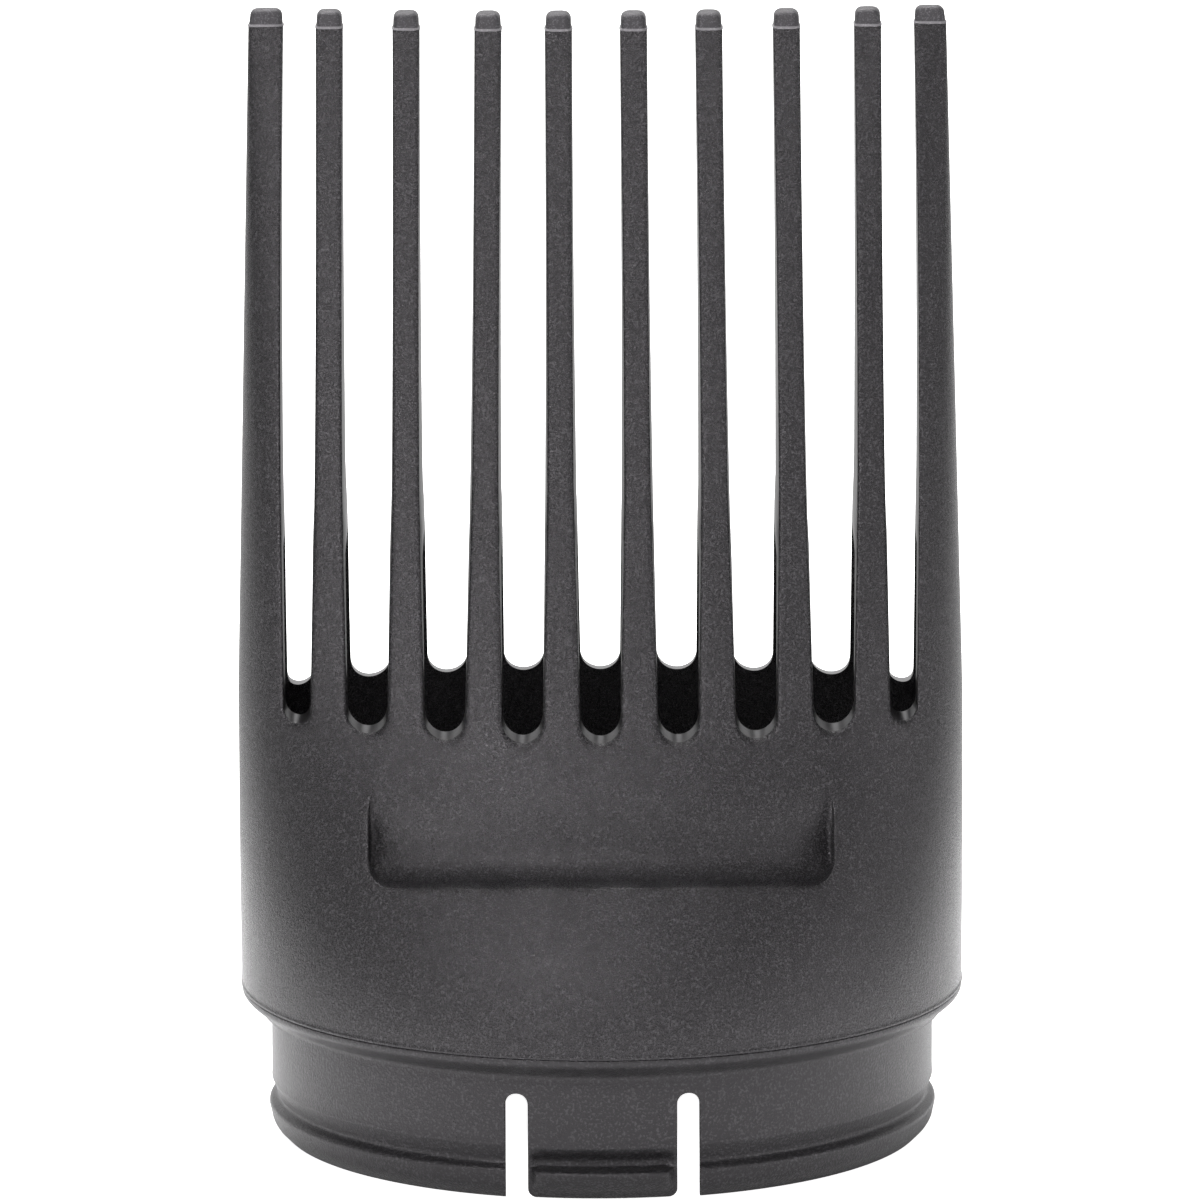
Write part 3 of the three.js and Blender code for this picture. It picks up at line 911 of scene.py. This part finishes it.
def tab_profile():
    """(height, radius of the plain wall, radius with the catch ridge) up the tab."""
    return [(0.1, 27.72, 27.72), (0.14, 27.86, 27.86), (0.24, 27.95, 27.95), (0.45, 28.08, 28.1),
            (0.7, 28.2, 28.3), (0.95, 28.28, 28.52), (1.2, 28.3, 28.75), (1.45, 28.3, 28.93),
            (1.7, 28.3, 29.08), (1.95, 28.3, 29.22), (2.15, 28.3, 29.35), (2.3, 28.3, 29.42),
            (2.42, 28.3, 29.45), (2.53, 28.3, 29.44), (2.63, 28.3, 29.38), (2.71, 28.3, 29.28),
            (2.77, 28.3, 29.12), (2.81, 28.3, 28.9), (2.84, 28.3, 28.55), (2.88, 28.3, 28.2),
            (3.0, 28.3, 28.0), (3.25, 28.3, 27.95),
            (3.55, 28.35, 28.0), (3.75, 28.45, 28.12), (3.95, 28.58, 28.3), (4.15, 28.68, 28.5),
            (4.35, 28.76, 28.66), (4.55, 28.82, 28.77), (4.7, 28.87, 28.86), (4.82, 28.87, 28.87),
            (4.96, 28.85, 28.85), (5.6, 28.84, 28.84), (6.6, 28.84, 28.84), (7.6, 28.85, 28.85)]


def make_tab(name, material, turn):
    """A snap tab; turn is 1 for the front one and -1 for the back one, a half turn away."""
    surface = Surface()
    outer, inner = [], []
    for z, plain, ridge in tab_profile() + [(z, SPIGOT_R, SPIGOT_R) for z in slot_levels()]:
        half = tab_half_width(z)
        flat = half - window_rounding(z)
        line = []
        for x in np.linspace(-flat, flat, TAB_STEPS + 1):
            stands_out = float(smoothstep((CATCH_HALF_WIDTH - abs(x)) / CATCH_END_RUN))
            radius = plain + (ridge - plain) * stands_out
            line.append((x, math.sqrt(radius ** 2 - x ** 2)))
        corner = window_corner(plain, z, half, -1)
        line = [(-x, y) for x, y in corner] + line + [(x, y) for x, y in reversed(corner)]
        outer.append([(turn * x, -turn * y, z) for x, y in line])
        inner.append([(turn * x, -turn * math.sqrt(BORE_R ** 2 - x ** 2), z)
                      for x in np.linspace(-half, half, TAB_STEPS + 1)])
    surface.grid(outer)
    surface.grid(inner)
    for end in (0, -1):
        surface.grid([[row[end] for row in outer], [row[end] for row in inner]])
        surface.grid([outer[end], padded(inner[end])])
    tab = surface.build(name, [material], 45)
    return tab


# ---- materials -----------------------------------------------------------------------------

GRAIN_HEIGHT = 0.022
SHEEN_TINT = (1.0, 0.95, 1.0, 1.0)  # takes the green out of the highlights


def plastic(name, colour, roughness, grain, bump, glint_fleck, specular=0.5):
    """Spark-eroded plastic: fine grain in bump and roughness, and paler flecks of the colour, partly
    the grain's own tone and partly painted glints.
    """
    material = bpy.data.materials.new(name)
    material.use_nodes = True
    nodes, links = material.node_tree.nodes, material.node_tree.links
    shader = nodes["Principled BSDF"]
    shader.inputs["Specular IOR Level"].default_value = specular
    shader.inputs["IOR"].default_value = 1.5
    shader.inputs["Specular Tint"].default_value = SHEEN_TINT
    place = nodes.new("ShaderNodeTexCoord")

    def noise(scale, detail, rough=0.5):
        node = nodes.new("ShaderNodeTexNoise")
        node.inputs["Scale"].default_value = scale
        node.inputs["Detail"].default_value = detail
        node.inputs["Roughness"].default_value = rough
        links.new(place.outputs["Object"], node.inputs["Vector"])
        return node.outputs["Fac"]

    def ramp(source, low, high, low_value, high_value):
        node = nodes.new("ShaderNodeMapRange")
        node.inputs["From Min"].default_value = low
        node.inputs["From Max"].default_value = high
        node.inputs["To Min"].default_value = low_value
        node.inputs["To Max"].default_value = high_value
        links.new(source, node.inputs["Value"])
        return node.outputs["Result"]

    def mix(kind, a, b):
        node = nodes.new("ShaderNodeMath")
        node.operation = kind
        links.new(a, node.inputs[0])
        links.new(b, node.inputs[1])
        return node.outputs[0]

    fine = noise(1 / (grain * MM), 2.0, 0.6)
    finer = noise(2.3 / (grain * MM), 1.0)
    cloud = noise(55.0, 3.0, 0.55)
    # Colour: slow clouding, and pale flecks where the grain peaks: partly the grain's own tone, partly
    # painted glints
    shade = nodes.new("ShaderNodeMix")
    shade.data_type = 'RGBA'
    dark = [c * 0.75 for c in colour]
    # The pale flecks: partly the grain's own tone, partly painted glints
    pale = [c * (1 + glint_fleck) for c in colour]
    shade.inputs["A"].default_value = (*dark, 1)
    shade.inputs["B"].default_value = (*pale, 1)
    links.new(mix('MULTIPLY', ramp(cloud, 0.3, 0.7, 0.7, 1.0), ramp(fine, 0.53, 0.64, 0.0, 1.0)),
              shade.inputs["Factor"])
    links.new(shade.outputs["Result"], shader.inputs["Base Color"])
    # Roughness: glossier grain tops, slow variation
    uneven = mix('ADD', ramp(finer, 0.35, 0.65, 0.05 * bump, -0.05 * bump),
                 ramp(cloud, 0.3, 0.7, roughness - 0.02, roughness + 0.02))
    links.new(uneven, shader.inputs["Roughness"])
    # Relief of the spark-eroded mould
    relief = nodes.new("ShaderNodeBump")
    relief.inputs["Strength"].default_value = bump
    relief.inputs["Distance"].default_value = GRAIN_HEIGHT * MM
    links.new(mix('ADD', ramp(fine, 0.4, 0.62, 0.0, 1.0), ramp(finer, 0.35, 0.65, 0.0, 0.6)),
              relief.inputs["Height"])
    links.new(relief.outputs["Normal"], shader.inputs["Normal"])
    return material


# ---- camera, light and floor ---------------------------------------------------------------

def make_camera():
    target = Vector((0.0, 0.0, 0.04675))
    elevation, distance, roll = math.radians(11.6), 1.26, math.radians(-0.27)
    out = Vector((0.0, -math.cos(elevation), math.sin(elevation)))
    camera = bpy.data.objects.new("camera", bpy.data.cameras.new("camera"))
    bpy.context.scene.collection.objects.link(camera)
    camera.location = target + out * distance
    aim = (target - camera.location).to_track_quat('-Z', 'Y')
    camera.rotation_euler = (aim @ Quaternion((0, 0, 1), roll)).to_euler()
    camera.data.lens = 435
    camera.data.sensor_width = 36
    bpy.context.scene.camera = camera


def softbox(name, place, aim, width, height, power):
    light = bpy.data.lights.new(name, 'AREA')
    light.shape = 'RECTANGLE'
    light.size = width
    light.size_y = height
    light.energy = power
    lamp = bpy.data.objects.new(name, light)
    bpy.context.scene.collection.objects.link(lamp)
    lamp.location = place
    lamp.rotation_euler = (Vector(aim) - Vector(place)).to_track_quat('-Z', 'Y').to_euler()


def around_object(azimuth, elevation, distance):
    """A place round the object; azimuth 0 is in front, and it grows towards +X."""
    a, e = math.radians(azimuth), math.radians(elevation)
    return (distance * math.sin(a) * math.cos(e), -distance * math.cos(a) * math.cos(e),
            0.04 + distance * math.sin(e))


def make_light():
    middle = (0, 0, 0.045)
    softbox("key", around_object(-33, -14, 1.1), middle, 0.2, 0.16, 3.2)
    softbox("front", around_object(-20, 42, 1.0), middle, 0.2, 0.16, 3.9)
    softbox("overhead", around_object(-165, 82, 1.0), middle, 0.5, 0.2, 0.8)
    softbox("right", around_object(78, 12, 1.1), middle, 0.3, 0.4, 2.2)
    softbox("left", around_object(-80, 12, 1.1), middle, 0.3, 0.4, 0.8)
    softbox("behind", around_object(-160, 62, 1.0), middle, 0.35, 0.2, 9.0)
    make_studio()
    bpy.context.scene.view_settings.view_transform = 'Standard'


def make_studio():
    """A white backdrop behind the object, and a greyer room in front of it."""
    world = bpy.data.worlds.new("studio")
    bpy.context.scene.world = world
    world.use_nodes = True
    nodes, links = world.node_tree.nodes, world.node_tree.links
    place = nodes.new("ShaderNodeTexCoord")
    split = nodes.new("ShaderNodeSeparateXYZ")
    links.new(place.outputs["Generated"], split.inputs[0])
    total = nodes.new("ShaderNodeMath")
    total.operation = 'ADD'
    for slot, (start, full, strength) in enumerate(((0.1, 0.85, 1.0), (0.1, -0.5, 0.62))):
        fade = nodes.new("ShaderNodeMapRange")
        fade.interpolation_type = 'SMOOTHSTEP'
        fade.inputs["From Min"].default_value = start
        fade.inputs["From Max"].default_value = full
        fade.inputs["To Max"].default_value = strength
        links.new(split.outputs["Y"], fade.inputs["Value"])
        links.new(fade.outputs["Result"], total.inputs[slot])
    links.new(total.outputs[0], nodes["Background"].inputs["Strength"])
    nodes["Background"].inputs["Color"].default_value = (1, 1, 1, 1)


def make_plane(name, reach, level, colour, glow):
    mesh = bpy.data.meshes.new(name)
    corners = [(-reach, -reach, level), (reach, -reach, level),
               (reach, reach, level), (-reach, reach, level)]
    mesh.from_pydata(corners, [], [(0, 1, 2, 3)])
    plane = bpy.data.objects.new(name, mesh)
    bpy.context.scene.collection.objects.link(plane)
    material = bpy.data.materials.new(name + "_white")
    material.use_nodes = True
    shader = material.node_tree.nodes["Principled BSDF"]
    shader.inputs["Base Color"].default_value = (colour, colour, colour, 1)
    shader.inputs["Roughness"].default_value = 0.9
    shader.inputs["Emission Color"].default_value = (1, 1, 1, 1)
    shader.inputs["Emission Strength"].default_value = glow
    mesh.materials.append(material)
    return plane


TABLE_SHADOW_R, TABLE_LIT_R = 0.026, 0.04  # the table's glow sets in from under the foot outwards; no glow under the foot, a painted shadow
TABLE_GLOW = 0.85


def make_floor():
    """A pale floor that looks evenly white, over a small table that lights the object from below:
    it sends the lamps' light back up, and glows all round the object's foot, but not under it: a
    painted shadow."""
    floor = make_plane("floor", 3.0, -0.0001, 0.9, 1.0)
    floor.visible_diffuse = False
    floor.visible_glossy = False
    floor.visible_shadow = False
    table = make_plane("table", 0.11, -0.0002, 0.8, 0.0)
    table.visible_camera = False
    nodes, links = table.data.materials[0].node_tree.nodes, table.data.materials[0].node_tree.links
    place = nodes.new("ShaderNodeTexCoord")
    length = nodes.new("ShaderNodeVectorMath")
    length.operation = 'LENGTH'
    # No glow under the foot: a painted shadow
    glow = nodes.new("ShaderNodeMapRange")
    glow.inputs["From Min"].default_value = TABLE_SHADOW_R
    glow.inputs["From Max"].default_value = TABLE_LIT_R
    glow.inputs["To Min"].default_value = 0.0
    glow.inputs["To Max"].default_value = TABLE_GLOW
    links.new(place.outputs["Object"], length.inputs[0])
    links.new(length.outputs["Value"], glow.inputs["Value"])
    links.new(glow.outputs["Result"], nodes["Principled BSDF"].inputs["Emission Strength"])


# ---- the scene -----------------------------------------------------------------------------

CHARCOAL = (0.0145, 0.014, 0.015)
# The last number but one is the strength of the pale flecks, partly painted glints
shell_plastic = plastic("shell_plastic", CHARCOAL, 0.26, 0.2, 1.0, 3.2)
slot_plastic = plastic("slot_plastic", CHARCOAL, 0.32, 0.3, 0.15, 0.6, 0.8)
tip_plastic = plastic("tip_plastic", (0.05, 0.048, 0.052), 0.45, 0.14, 0.7, 1.2)
# Pale colour of the tips' raised line: a painted highlight
joint_highlight_plastic = plastic("joint_highlight_plastic", (0.27, 0.26, 0.275), 0.4, 0.2, 0.2, 0.2)
collar_plastic = plastic("collar_plastic", CHARCOAL, 0.33, 0.22, 0.9, 2.4)

make_camera()
make_light()
make_floor()
make_body(shell_plastic, slot_plastic)
for tooth in range(TEETH):
    make_tip(tooth, tip_plastic, joint_highlight_plastic)
make_ring(collar_plastic)
for tab_name, side in (("tab_front", 1), ("tab_back", -1)):
    tab = make_tab("snap_" + tab_name, collar_plastic, side)
    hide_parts(tab_name)
    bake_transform(tab)

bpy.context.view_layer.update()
